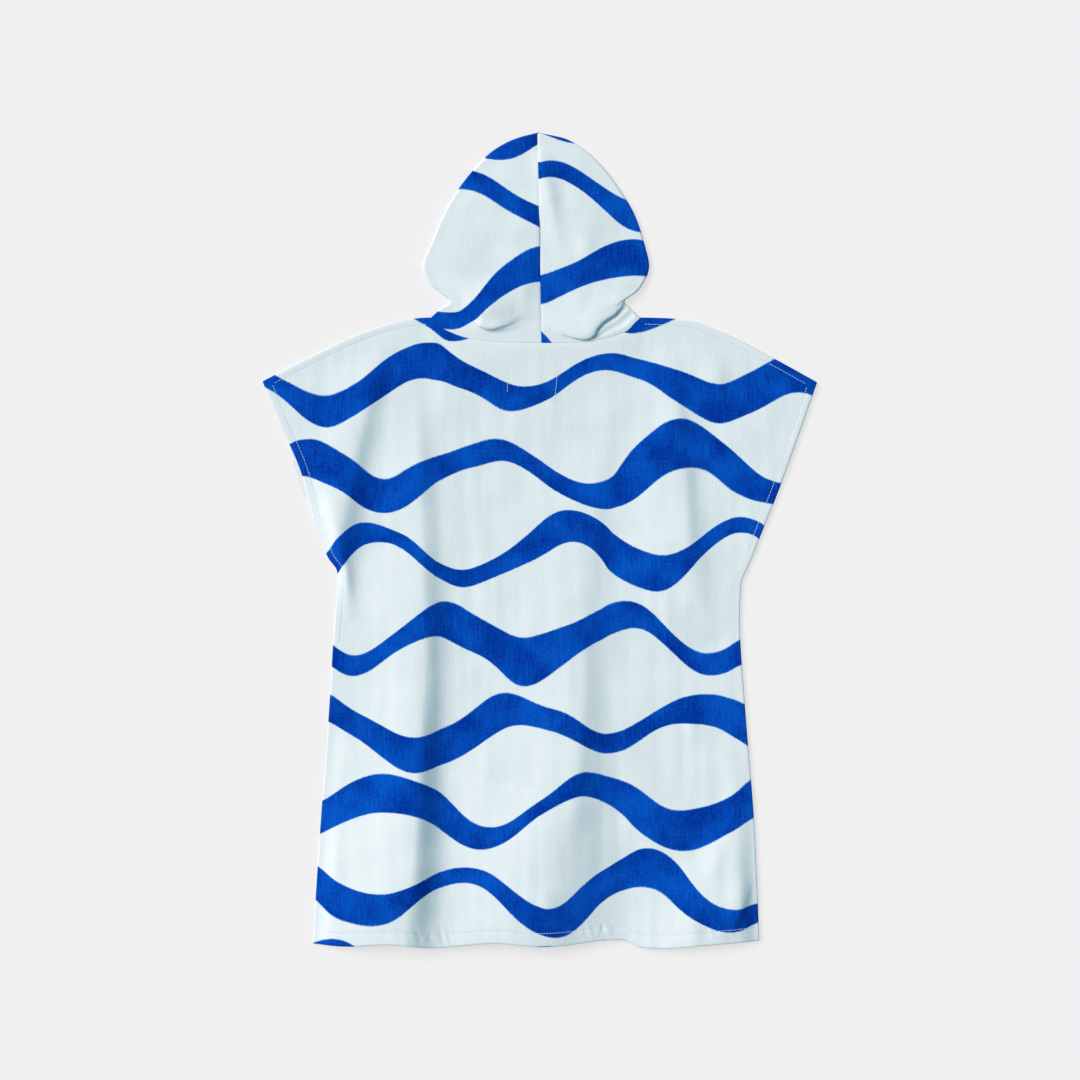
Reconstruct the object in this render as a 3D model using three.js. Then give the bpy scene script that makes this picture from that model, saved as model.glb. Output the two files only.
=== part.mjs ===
// Child's hooded bath poncho in printed cotton towelling, laid flat on its front.
// Millimetres, +Z up. Seen from above, +X is to the right and +Y runs from the hem to the hood.
// The origin is on the surface it lies on, under the middle of the whole garment.
// Four pieces are cut and sewn: a back, a front and the two halves of the hood.
import * as THREE from "three";

// Cloth and seams
const wall = 2; // one layer of towelling
const turnedWall = 3.4; // the same cloth where its edge is turned in and stitched down
const seamGap = 0.4; // between two pieces that are sewn together
const hemDepth = 15; // turned edge along the bottom
const sideDepth = 9; // turned edge along the sides and cuffs
const topDepth = 8; // seam allowance along the shoulders and the neck
const stepWidth = 2; // over which a turned edge thins to one layer

// Heights of the outer face above the surface
const lyingHeight = 7.2; // back panel's edges, where its turned edge lies on the front's
const restHeight = 4.8; // back panel where it has sunk onto the front between the edges
const sinkWidth = 60; // from the hem or a side to there
const topSinkWidth = 160; // from the shoulders and the neck to there, past the front's neckline
const neckHeight = 9; // neck seam at the middle of the back
const hoodHeight = 11; // back of the hood, away from its folds
const hoodEdgeHeight = 9; // where the hood's cloth turns under at its sides and crown
const neckHalfWidth = 126; // from the middle of the back to the end of the neck seam
const neckFade = 40; // length over which the back rises to the neck seam
const sideFade = 22; // width over which folds die out towards the sides

// How finely each piece is divided
const shoulderColumns = 11;
const hoodTopColumns = 9;
const hoodTurnColumns = 5;
const hoodUnderColumns = 6;
const hoodRowsPerSection = 2;
const backRows = 30;
const frontRows = 13;
const frontShoulderColumns = 5;

// Left and right edges of the body, from the hem up to the cuffs' top corners
const sideEdges = [
  { y: -463, left: -260.5, right: 251.5 },
  { y: -334, left: -252, right: 246 },
  { y: -185, left: -241, right: 234.5 },
  { y: -93, left: -235.5, right: 229 },
  { y: -50, left: -232, right: 230.5 },
  { y: -36, left: -232.5, right: 236 },
  { y: -20, left: -243, right: 243 },
  { y: 3, left: -252, right: 252 },
  { y: 58, left: -272.5, right: 274 },
  { y: 127, left: -296.5, right: 299 },
  { y: 182, left: -318, right: 318 },
];
// How far the back's left cuff lies inside the front's, so that the front shows beside it
const cuffShift = { low: 25, high: 130, inset: 5.5 };

// Bottom edge, from left to right
const bottomEdge = [
  { x: -260.5, y: -463 },
  { x: -224, y: -465 },
  { x: -170, y: -462 },
  { x: -121, y: -467 },
  { x: -86, y: -464 },
  { x: -51, y: -461 },
  { x: 0, y: -464.5 },
  { x: 30, y: -463.5 },
  { x: 70, y: -459 },
  { x: 95, y: -458.5 },
  { x: 116, y: -467 },
  { x: 134, y: -468 },
  { x: 185, y: -464.5 },
  { x: 251.5, y: -459.5 },
];

// Shoulder seams, from the cuff to the neck
const leftShoulder = [
  { x: -318, y: 182 },
  { x: -264, y: 210 },
  { x: -196, y: 241 },
  { x: -151, y: 253 },
  { x: -126, y: 255 },
];
const rightShoulder = [
  { x: 116, y: 255 },
  { x: 139, y: 254.5 },
  { x: 168, y: 252.5 },
  { x: 203, y: 241 },
  { x: 265, y: 210 },
  { x: 318, y: 181 },
];

// Neck seam on the back, from the left shoulder to the right one
const neckEdge = [
  { x: -126, y: 255 },
  { x: -106, y: 241 },
  { x: -77, y: 231 },
  { x: -34, y: 227 },
  { x: 1.7, y: 226 },
  { x: 46, y: 227 },
  { x: 70, y: 230.5 },
  { x: 98, y: 240 },
  { x: 116, y: 255 },
];
const frontNeckY = 170; // lowest point of the neck seam on the front
const frontInset = 1; // front panel's sides and hem lie this far inside the back's

// Seam up the middle of the hood's back: it leans a little to the left
const hoodSeam = { x: 1.7, y: 226, lean: -0.019 };

// Sections of the hood from the neck seam to the crown. A section runs from the middle seam
// out to the edge, turns under there, and comes back below to the edge of the face opening.
const hoodSections = [
  { edgeY: 255, left: 126, right: 116, seamY: 226, face: 0, faceY: 170 },
  { edgeY: 266, left: 114, right: 104, seamY: 235, face: 15, faceY: 186 },
  { edgeY: 274, left: 104.5, right: 97.5, seamY: 245, face: 27, faceY: 204 },
  { edgeY: 285, left: 116, right: 111.5, seamY: 256, face: 37, faceY: 223 },
  { edgeY: 297, left: 129, right: 120, seamY: 270, face: 45, faceY: 244 },
  { edgeY: 315, left: 135, right: 125.5, seamY: 289, face: 51, faceY: 268 },
  { edgeY: 344, left: 124, right: 119, seamY: 312, face: 53, faceY: 298 },
  { edgeY: 372, left: 112, right: 109.5, seamY: 334, face: 51, faceY: 326 },
  { edgeY: 400, left: 96, right: 93.5, seamY: 355, face: 45, faceY: 350 },
  { edgeY: 427, left: 75, right: 73.5, seamY: 374, face: 36, faceY: 372 },
  { edgeY: 448, left: 53, right: 51.5, seamY: 390, face: 25, faceY: 390 },
  { edgeY: 461.5, left: 27, right: 28, seamY: 402, face: 12, faceY: 403 },
  { edgeY: 468, left: 0, right: 0, seamY: 411, face: 0, faceY: 408 },
];
const neckBend = 5; // sections over which the curve of the neck seam straightens out
const scoopEnd = 2; // sections over which the layer below leaves the front's neckline

// Folds. Each is a crest walked from its first row to its last: rise is its height there, and
// left and right are the widths of its slopes on either hand.
const bodyFolds = [
  [
    { x: -169, y: -470, rise: 18, left: 76, right: 37 },
    { x: -165, y: -414, rise: 18.5, left: 76, right: 36 },
    { x: -159, y: -368, rise: 18, left: 72, right: 34 },
    { x: -149, y: -299, rise: 17, left: 66, right: 29 },
    { x: -143, y: -230, rise: 14, left: 60, right: 27 },
    { x: -138, y: -161, rise: 11, left: 54, right: 23 },
    { x: -137, y: -69, rise: 9.5, left: 50, right: 21 },
    { x: -136.5, y: 0, rise: 6.5, left: 46, right: 17 },
    { x: -138, y: 80, rise: 4.6, left: 38, right: 14 },
    { x: -144, y: 175, rise: 0, left: 30, right: 14 },
  ],
  [
    { x: -236, y: -105, rise: 0, left: 20, right: 13 },
    { x: -234, y: -50, rise: 6.5, left: 22, right: 14 },
    { x: -233, y: 0, rise: 10, left: 30, right: 15 },
    { x: -217, y: 80, rise: 7.5, left: 36, right: 15 },
    { x: -197, y: 161, rise: 5, left: 34, right: 14 },
    { x: -181, y: 215, rise: 0, left: 30, right: 14 },
  ],
  [
    { x: -2, y: -470, rise: 16, left: 105, right: 60 },
    { x: -2, y: -414, rise: 16, left: 105, right: 60 },
    { x: 12, y: -368, rise: 15.5, left: 100, right: 54 },
    { x: 35, y: -299, rise: 12.5, left: 95, right: 34 },
    { x: 42, y: -230, rise: 10, left: 85, right: 26 },
    { x: 46, y: -161, rise: 7.5, left: 75, right: 21 },
    { x: 39, y: -69, rise: 5.5, left: 64, right: 27 },
    { x: 56, y: 0, rise: 3.8, left: 54, right: 23 },
    { x: 67, y: 80, rise: 1.8, left: 40, right: 15 },
    { x: 70, y: 125, rise: 0, left: 30, right: 15 },
  ],
  [
    { x: 128, y: -470, rise: 4, left: 22, right: 70 },
    { x: 128, y: -420, rise: 3, left: 22, right: 70 },
    { x: 124, y: -330, rise: 1.5, left: 24, right: 60 },
    { x: 118, y: -240, rise: 0, left: 24, right: 50 },
  ],
  [
    { x: 198, y: -120, rise: 0, left: 44, right: 22 },
    { x: 180, y: -69, rise: 4, left: 54, right: 20 },
    { x: 173, y: 0, rise: 7.5, left: 56, right: 16 },
    { x: 166, y: 80, rise: 5.5, left: 44, right: 13 },
    { x: 156, y: 161, rise: 3.5, left: 30, right: 11 },
    { x: 152, y: 225, rise: 0, left: 28, right: 11 },
  ],
  [
    { x: 206, y: 145, rise: 0, left: 18, right: 11 },
    { x: 203, y: 185, rise: 3, left: 20, right: 11 },
    { x: 198, y: 232, rise: 0, left: 18, right: 10 },
  ],
  [
    { x: 232, y: -240, rise: 0, left: 70, right: 14 },
    { x: 226, y: -300, rise: 2.5, left: 80, right: 14 },
    { x: 221, y: -345, rise: 4, left: 90, right: 15 },
    { x: 210, y: -400, rise: 5, left: 90, right: 17 },
    { x: 205, y: -440, rise: 5, left: 90, right: 19 },
    { x: 202, y: -472, rise: 5, left: 90, right: 20 },
  ],
];
const hoodFolds = [
  [
    { x: -98, y: 255, rise: 0, left: 22, right: 9 },
    { x: -78, y: 259, rise: 5, left: 26, right: 10 },
    { x: -52, y: 256, rise: 9, left: 30, right: 10 },
    { x: -26, y: 250, rise: 6, left: 26, right: 10 },
    { x: -6, y: 246, rise: 0, left: 20, right: 10 },
  ],
  [
    { x: 18, y: 240, rise: 0, left: 20, right: 8 },
    { x: 42, y: 242, rise: 8, left: 26, right: 8 },
    { x: 66, y: 253, rise: 11, left: 30, right: 8 },
    { x: 84, y: 270, rise: 9, left: 30, right: 8 },
    { x: 98, y: 288, rise: 0, left: 26, right: 8 },
  ],
  [
    { x: 12, y: 335, rise: 0, left: 8, right: 10 },
    { x: 12, y: 370, rise: 4, left: 9, right: 11 },
    { x: 8, y: 410, rise: 3, left: 9, right: 11 },
    { x: 4, y: 440, rise: 0, left: 8, right: 10 },
  ],
  [
    { x: -19, y: 262, rise: 0, left: 22, right: 12 },
    { x: -20, y: 290, rise: 3, left: 24, right: 12 },
    { x: -22, y: 340, rise: 0, left: 22, right: 12 },
  ],
];

// Value of a table's column at a place along its first one. Cubic between the rows, and it
// never runs past a row's own value, so an outline has no bulge that isn't in the table.
function readTable(rows, along, column, place) {
  const last = rows.length - 1;
  const at = rows[0][along] < rows[last][along] ? place : -place;
  const sign = rows[0][along] < rows[last][along] ? 1 : -1;
  const xs = rows.map((row) => sign * row[along]);
  const ys = rows.map((row) => row[column]);
  if (at <= xs[0]) return ys[0];
  if (at >= xs[last]) return ys[last];
  const rate = (k) => (ys[k + 1] - ys[k]) / (xs[k + 1] - xs[k]);
  const slope = (k) => {
    if (k === 0) return rate(0);
    if (k === last) return rate(last - 1);
    const before = rate(k - 1);
    const after = rate(k);
    return before * after <= 0 ? 0 : (2 * before * after) / (before + after);
  };
  const k = xs.findIndex((x, i) => at >= x && at < xs[i + 1]);
  const span = xs[k + 1] - xs[k];
  const t = (at - xs[k]) / span;
  return (
    ys[k] * (1 + 2 * t) * (1 - t) ** 2 +
    slope(k) * span * t * (1 - t) ** 2 +
    ys[k + 1] * t * t * (3 - 2 * t) +
    slope(k + 1) * span * t * t * (t - 1)
  );
}

const mix = THREE.MathUtils.lerp;
const ease = (t) => THREE.MathUtils.smoothstep(t, 0, 1);
const spread = (count, from, to) =>
  Array.from({ length: count + 1 }, (_, k) => mix(from, to, k / count));

// Height that the folds add at a point: a bell across each crest, wider on its gentle side.
function foldRise(folds, x, y) {
  let rise = 0;
  for (const crest of folds) {
    let nearest = { distance: Infinity };
    for (let k = 0; k < crest.length - 1; k++) {
      const [a, b] = [crest[k], crest[k + 1]];
      const [dx, dy] = [b.x - a.x, b.y - a.y];
      const along = ((x - a.x) * dx + (y - a.y) * dy) / (dx * dx + dy * dy);
      const t = THREE.MathUtils.clamp(along, 0, 1);
      const distance = Math.hypot(x - a.x - t * dx, y - a.y - t * dy);
      if (distance >= nearest.distance) continue;
      const onLeft = dx * (y - a.y) - dy * (x - a.x) > 0;
      const width = onLeft ? mix(a.left, b.left, t) : mix(a.right, b.right, t);
      nearest = { distance, width, rise: mix(a.rise, b.rise, t) };
    }
    rise += nearest.rise * Math.exp(-((nearest.distance / nearest.width) ** 2));
  }
  return rise;
}

// Closed wall between a grid of points on the outer face and the same grid moved inwards.
// A grid is a list of rows of points, and turned says that its rows and columns run the other
// way round, so that its faces still point out.
function wallGeometry(outer, thickness, turned, settle) {
  const rows = outer.length;
  const columns = outer[0].length;
  const point = (grid, r, c) =>
    grid[THREE.MathUtils.clamp(r, 0, rows - 1)][THREE.MathUtils.clamp(c, 0, columns - 1)];
  const inner = outer.map((row, r) =>
    row.map((p, c) => {
      const across = point(outer, r, c + 1).clone().sub(point(outer, r, c - 1));
      const along = point(outer, r + 1, c).clone().sub(point(outer, r - 1, c));
      const normal = across.cross(along).multiplyScalar(turned ? -1 : 1).normalize();
      settle(normal, r, c);
      return p.clone().addScaledVector(normal.normalize(), -thickness(r, c));
    })
  );
  const positions = [...outer.flat(), ...inner.flat()].flatMap((p) => [p.x, p.y, p.z]);
  const offset = rows * columns;
  const faces = [];
  const quad = (a, b, c, d) => {
    faces.push(...(turned ? [a, c, b, a, d, c] : [a, b, c, a, c, d]));
  };
  for (let r = 0; r < rows - 1; r++) {
    for (let c = 0; c < columns - 1; c++) {
      const a = r * columns + c;
      const [b, d, e] = [a + 1, a + columns + 1, a + columns];
      quad(a, b, d, e);
      quad(offset + a, offset + e, offset + d, offset + b);
    }
  }
  const rim = (a, b) => quad(b, a, offset + a, offset + b);
  for (let c = 0; c < columns - 1; c++) {
    rim(c, c + 1);
    rim((rows - 1) * columns + c + 1, (rows - 1) * columns + c);
  }
  for (let r = 0; r < rows - 1; r++) {
    rim((r + 1) * columns, r * columns);
    rim(r * columns + columns - 1, (r + 1) * columns + columns - 1);
  }
  const geometry = new THREE.BufferGeometry();
  geometry.setAttribute("position", new THREE.Float32BufferAttribute(positions, 3));
  geometry.setIndex(faces);
  geometry.computeVertexNormals();
  return geometry;
}

// Points between four edges: the bottom and top are lists of points, one for each column, and
// the sides are functions of the height. The sides' bulge fades out across the piece.
function panelPoints(bottom, top, side, rises) {
  const last = bottom.length - 1;
  return rises.map((v) =>
    bottom.map((b, i) => {
      const t = top[i];
      const u = (b.x - bottom[0].x) / (bottom[last].x - bottom[0].x);
      const leftY = mix(bottom[0].y, top[0].y, v);
      const rightY = mix(bottom[last].y, top[last].y, v);
      const leftBulge = side("left", leftY) - mix(bottom[0].x, top[0].x, v);
      const rightBulge = side("right", rightY) - mix(bottom[last].x, top[last].x, v);
      const x = mix(b.x, t.x, v) + (1 - u) * leftBulge + u * rightBulge;
      return { x, y: mix(b.y, t.y, v), u, v };
    })
  );
}

// Places across a side: the turned edge, its step, then even columns up to the middle.
function fromEdge(depth, columns, end) {
  return [0, depth, depth + stepWidth, ...spread(columns - 2, depth + stepWidth, end).slice(1)];
}

const seamHeight = (x) => mix(neckHeight, lyingHeight, Math.min(1, (x / neckHalfWidth) ** 2));
const seamX = (y) => hoodSeam.x + hoodSeam.lean * (y - hoodSeam.y);
const neckY = (x) => readTable(neckEdge, "x", "y", x);

// Columns of the neck seam on the back, at the same places as the hood's own top columns.
const neckTurn = lyingHeight / 2;
function neckColumns(side) {
  const end = side < 0 ? neckEdge[0].x : neckEdge.at(-1).x;
  return spread(hoodTopColumns, seamX(hoodSeam.y), end - side * neckTurn);
}

// Columns of the neck seam on the front: a quarter of an ellipse for each half.
function frontNeckPoint(side, share, outwards = 0) {
  const end = side < 0 ? neckEdge[0] : neckEdge.at(-1);
  const angle = (share * Math.PI) / 2;
  const middle = seamX(frontNeckY);
  return {
    x: middle + (end.x + side * outwards - middle) * Math.cos(angle),
    y: end.y + (frontNeckY - outwards - end.y) * Math.sin(angle),
  };
}

function backPanel() {
  const shoulder = (table, end) =>
    fromEdge(sideDepth, shoulderColumns, Math.abs(table[0].x - table.at(-1).x)).map((d) => {
      const x = end < 0 ? table[0].x + d : table.at(-1).x - d;
      return { x, y: readTable(table, "x", "y", x) };
    });
  const neck = [...neckColumns(-1).reverse(), ...neckColumns(1).slice(1)];
  const top = [
    ...shoulder(leftShoulder, -1),
    ...neck.map((x) => ({ x, y: neckY(x) })),
    ...shoulder(rightShoulder, 1).reverse(),
  ];
  const columns = top.length - 1;
  const [left, right] = [bottomEdge[0].x, bottomEdge.at(-1).x];
  const edge = [0, sideDepth, sideDepth + stepWidth];
  const middle = spread(columns - 4, left + edge[2], right - edge[2]);
  const bottom = [
    ...edge.slice(0, 2).map((d) => left + d),
    ...middle,
    ...edge.slice(0, 2).reverse().map((d) => right - d),
  ].map((x) => ({ x, y: readTable(bottomEdge, "x", "y", x) }));
  const height = leftShoulder[0].y - bottomEdge[0].y;
  const rises = [
    0,
    hemDepth / height,
    ...spread(backRows - 4, (hemDepth + stepWidth) / height, 1 - (topDepth + stepWidth) / height),
    1 - topDepth / height,
    1,
  ];
  const side = (hand, y) => {
    const x = readTable(sideEdges, "y", hand, y);
    const along = (y - cuffShift.low) / (cuffShift.high - cuffShift.low);
    const inset = along > 0 && along < 1 ? cuffShift.inset * Math.sin(along * Math.PI) : 0;
    return hand === "left" ? x + inset : x;
  };
  const plan = panelPoints(bottom, top, side, rises);
  const [rowCount, columnCount] = [plan.length, columns + 1];
  const outer = plan.map((row, r) =>
    row.map(({ x, y }, c) => {
      const toSide = Math.min(x - row[0].x, row[columns].x - x);
      const toTop = plan[rowCount - 1][c].y - y;
      const toHem = y - plan[0][c].y;
      const sunk = ease(toSide / sinkWidth) * ease(toHem / sinkWidth) * ease(toTop / topSinkWidth);
      const neck = Math.abs(x) < neckHalfWidth ? seamHeight(x) - lyingHeight : 0;
      const lying = mix(lyingHeight, restHeight, sunk) + neck * Math.exp(-((toTop / neckFade) ** 2));
      const free = ease(toSide / sideFade) * ease(toTop / neckFade);
      return new THREE.Vector3(x, y, lying + foldRise(bodyFolds, x, y) * free);
    })
  );
  const atEdge = (r, c) => r <= 1 || c <= 1 || r >= rowCount - 2 || c >= columnCount - 2;
  const thickness = (r, c) => (atEdge(r, c) ? turnedWall : wall);
  const rim = (r, c) => r === 0 || c === 0 || r === rowCount - 1 || c === columnCount - 1;
  return wallGeometry(outer, thickness, false, (normal, r, c) => {
    if (rim(r, c)) normal.set(0, 0, 1);
  });
}

function frontPanel() {
  const shares = spread(hoodUnderColumns, 0, 1);
  const shoulder = (table, end) =>
    fromEdge(sideDepth, frontShoulderColumns + 2, Math.abs(table[0].x - table.at(-1).x))
      .slice(0, -1)
      .map((d) => {
        const x = end < 0 ? table[0].x + d : table.at(-1).x - d;
        return { x, y: readTable(table, "x", "y", x) };
      });
  const top = [
    ...shoulder(leftShoulder, -1),
    ...shares.map((share) => frontNeckPoint(-1, share, seamGap)),
    ...shares.map((share) => frontNeckPoint(1, share, seamGap)).reverse().slice(1),
    ...shoulder(rightShoulder, 1).reverse(),
  ];
  const columns = top.length - 1;
  const [left, right] = [bottomEdge[0].x + frontInset, bottomEdge.at(-1).x - frontInset];
  const edge = [0, sideDepth, sideDepth + stepWidth];
  const bottom = [
    ...edge.slice(0, 2).map((d) => left + d),
    ...spread(columns - 4, left + edge[2], right - edge[2]),
    ...edge.slice(0, 2).reverse().map((d) => right - d),
  ].map((x) => ({ x, y: readTable(bottomEdge, "x", "y", x) + frontInset }));
  const height = leftShoulder[0].y - bottomEdge[0].y;
  const rises = [
    0,
    hemDepth / height,
    ...spread(frontRows - 4, (hemDepth + stepWidth) / height, 1 - (topDepth + stepWidth) / height),
    1 - topDepth / height,
    1,
  ];
  const side = (hand, y) =>
    readTable(sideEdges, "y", hand, y) + (hand === "left" ? frontInset : -frontInset);
  const plan = panelPoints(bottom, top, side, rises);
  const outer = plan.map((row) => row.map(({ x, y }) => new THREE.Vector3(x, y, 0)));
  const [rowCount, columnCount] = [plan.length, columns + 1];
  const atEdge = (r, c) => r <= 1 || c <= 1 || r >= rowCount - 2 || c >= columnCount - 2;
  const thickness = (r, c) => (atEdge(r, c) ? turnedWall : wall);
  return wallGeometry(outer, thickness, true, (normal) => normal.set(0, 0, -1));
}

// Smooth row between the hood's sections, at a place counted in sections.
function hoodSection(place) {
  const names = Object.keys(hoodSections[0]);
  const numbered = hoodSections.map((row, index) => ({ index, ...row }));
  return Object.fromEntries(
    names.map((name) => [name, readTable(numbered, "index", name, place)])
  );
}

function hoodHalf(side) {
  const rows = (hoodSections.length - 1) * hoodRowsPerSection;
  const topShares = spread(hoodTopColumns, 0, 1);
  const turnAngles = spread(hoodTurnColumns, 0, Math.PI).slice(1);
  const underShares = spread(hoodUnderColumns, 0, 1).slice(1);
  const onSeam = (y) => seamX(y) + (side * seamGap) / 2;
  const outer = [];
  for (let r = 0; r <= rows; r++) {
    const place = r / hoodRowsPerSection;
    const s = hoodSection(place);
    const crown = r === rows;
    const reach = side < 0 ? -s.left : s.right;
    const seam = new THREE.Vector2(onSeam(s.seamY), s.seamY);
    const edge = new THREE.Vector2(crown ? onSeam(s.edgeY) : reach, s.edgeY);
    const face = new THREE.Vector2(onSeam(s.faceY) + side * s.face, s.faceY);
    const edgeHeight = mix(lyingHeight, hoodEdgeHeight, ease(place / 2));
    const radius = edgeHeight / 2;
    const bend = 1 - ease(place / neckBend);
    const scoop = 1 - ease(place / scoopEnd);
    const inward = seam.clone().sub(edge).normalize();
    const under = face.clone().sub(edge).normalize().lerp(inward, 1 - scoop).normalize();
    const topEnd = edge.clone().addScaledVector(inward, radius);
    const underEnd = edge.clone().addScaledVector(under, radius);
    const middle = underEnd.clone().addScaledVector(under, underEnd.distanceTo(face) / 4);
    const row = topShares.map((share) => {
      const p = seam.clone().lerp(topEnd, share);
      const neckX = neckColumns(side)[Math.round(share * hoodTopColumns)];
      const straightY = mix(neckY(seamX(hoodSeam.y)), neckEdge.at(side < 0 ? 0 : -1).y, share);
      if (r === 0) p.x = share === 0 ? seam.x : neckX;
      const y = r === 0 ? neckY(p.x) + seamGap : p.y + bend * (neckY(neckX) - straightY);
      const above = (y - neckY(p.x)) / 12;
      const toEdge = p.distanceTo(topEnd) / 20;
      const lying = mix(edgeHeight, hoodHeight, ease(toEdge));
      const folded = lying + foldRise(hoodFolds, p.x, y) * ease(toEdge);
      const z = r === 0 ? seamHeight(p.x) : mix(seamHeight(p.x), folded, ease(above));
      return new THREE.Vector3(p.x, y, share === 1 ? edgeHeight : z);
    });
    for (const angle of turnAngles) {
      const heading = inward.clone().lerp(under, angle / Math.PI).normalize();
      const p = edge.clone().addScaledVector(heading, radius * (1 - Math.sin(angle)));
      const lift = r === 0 ? seamGap : 0;
      row.push(new THREE.Vector3(p.x, p.y + lift, radius * (1 + Math.cos(angle))));
    }
    for (const share of underShares) {
      // Near the neck seam the path to the face opening follows the neckline. Above it, the
      // path leaves the edge straight across, then bends down.
      const straight = underEnd.clone().lerp(face, share);
      const across = underEnd.clone().lerp(middle, share);
      const bent = across.lerp(middle.clone().lerp(face, share), share);
      const neck = frontNeckPoint(side, share);
      const neckEnd = frontNeckPoint(side, 0);
      const chord = { x: mix(neckEnd.x, seamX(frontNeckY), share), y: mix(neckEnd.y, frontNeckY, share) };
      const p = straight.lerp(bent, 1 - scoop);
      const x = p.x + scoop * (neck.x - chord.x);
      const y = p.y + scoop * (neck.y - chord.y) + (r === 0 ? seamGap : 0);
      row.push(new THREE.Vector3(x, y, 0));
    }
    outer.push(row);
  }
  const lastColumn = outer[0].length - 1;
  const atEdge = (r, c) => r === 0 || c >= lastColumn - 1;
  const thickness = (r, c) => (atEdge(r, c) ? turnedWall - 0.4 : wall);
  return wallGeometry(outer, thickness, side < 0, (normal, r, c) => {
    if (r === 0) normal.y = 0;
    if (c === 0 || r === rows) normal.x = 0;
    if (c > hoodTopColumns + hoodTurnColumns) normal.set(0, 0, -1);
  });
}

const towelling = (color) => new THREE.MeshStandardMaterial({ color, roughness: 0.95, metalness: 0 });

function piece(name, geometry, color) {
  const mesh = new THREE.Mesh(geometry, towelling(color));
  mesh.name = name;
  return mesh;
}

const poncho = new THREE.Group();
poncho.add(
  piece("body_back", backPanel(), 0xdfecee),
  piece("body_front", frontPanel(), 0xdfecee),
  piece("hood_left", hoodHalf(-1), 0xdfecee),
  piece("hood_right", hoodHalf(1), 0xdfecee)
);

export default poncho;
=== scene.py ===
import bpy
import numpy as np
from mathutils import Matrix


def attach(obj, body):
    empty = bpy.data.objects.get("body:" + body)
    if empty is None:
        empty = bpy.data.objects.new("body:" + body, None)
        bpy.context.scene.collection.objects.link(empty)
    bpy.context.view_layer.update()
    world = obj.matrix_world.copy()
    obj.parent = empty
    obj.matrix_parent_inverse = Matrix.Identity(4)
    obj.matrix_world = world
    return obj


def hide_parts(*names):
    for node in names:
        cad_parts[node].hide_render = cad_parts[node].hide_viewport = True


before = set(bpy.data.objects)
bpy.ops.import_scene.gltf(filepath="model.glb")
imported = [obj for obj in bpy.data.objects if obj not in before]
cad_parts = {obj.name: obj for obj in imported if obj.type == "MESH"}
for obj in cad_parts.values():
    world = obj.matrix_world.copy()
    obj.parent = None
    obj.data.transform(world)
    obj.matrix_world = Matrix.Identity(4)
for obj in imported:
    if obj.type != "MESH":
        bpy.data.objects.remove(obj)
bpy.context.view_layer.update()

# A child's hooded bath poncho in printed cotton towelling, laid flat on its front and seen from
# straight above. Tables are in millimetres, +X to the right and +Y from the hem to the hood.
# The meshes are in metres. Each cloth piece is a closed wall that stands for its CAD solid.
millimetre = 0.001

# Camera: straight down, as the photograph was taken, with its whole field 1.242 m across
viewFrom = {"lens": 85.0, "sensor": 36.0, "field": 1.242}


def makeCamera():
    data = bpy.data.cameras.new("camera")
    data.lens = viewFrom["lens"]
    data.sensor_width = viewFrom["sensor"]
    camera = bpy.data.objects.new("camera", data)
    camera.location = (0.0, 0.0, viewFrom["field"] * viewFrom["lens"] / viewFrom["sensor"])
    bpy.context.scene.collection.objects.link(camera)
    bpy.context.scene.camera = camera


makeCamera()
print("camera made")


# Rows of a table as dictionaries, from its columns' names
def table(names, rows):
    return [dict(zip(names.split(), row)) for row in rows]


# Outlines, as in the CAD model
sideEdges = table("y left right", [
    (-463, -260.5, 251.5),
    (-334, -252, 246),
    (-185, -241, 234.5),
    (-93, -235.5, 229),
    (-50, -232, 230.5),
    (-36, -232.5, 236),
    (-20, -243, 243),
    (3, -252, 252),
    (58, -272.5, 274),
    (127, -296.5, 299),
    (182, -318, 318),
])
cuffShift = {"low": 25, "high": 130, "inset": 5.5}
bottomEdge = table("x y", [
    (-260.5, -463), (-224, -465), (-170, -462), (-121, -467), (-86, -464), (-51, -461),
    (0, -464.5), (30, -463.5), (70, -459), (95, -458.5), (116, -467), (134, -468), (185, -464.5),
    (251.5, -459.5),
])
topEdge = table("x y", [
    (-318, 182), (-264, 210), (-196, 241), (-151, 253), (-126, 255), (-106, 241), (-77, 231),
    (-34, 227), (1.7, 226), (46, 227), (70, 230.5), (98, 240), (116, 255), (139, 254.5),
    (168, 252.5), (203, 241), (265, 210), (318, 181),
])
neckEnd = {-1: {"x": -126, "y": 255}, 1: {"x": 116, "y": 255}}
frontNeckY = 170
hoodSeam = {"x": 1.7, "y": 226, "lean": -0.019}
# Height of the neck seam, at the middle of the back and at the shoulders
seamLevel = {"middle": 7.4, "shoulder": 4.8, "halfWidth": 126}


# Cubic from one value to the next, with a slope at each, at a share t of the span between them
def cubic(values, slope, k, span, t):
    return (
        values[k] * (1 + 2 * t) * (1 - t) ** 2
        + slope[k] * span * t * (1 - t) ** 2
        + values[k + 1] * t * t * (3 - 2 * t)
        + slope[k + 1] * span * t * t * (t - 1)
    )


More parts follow.
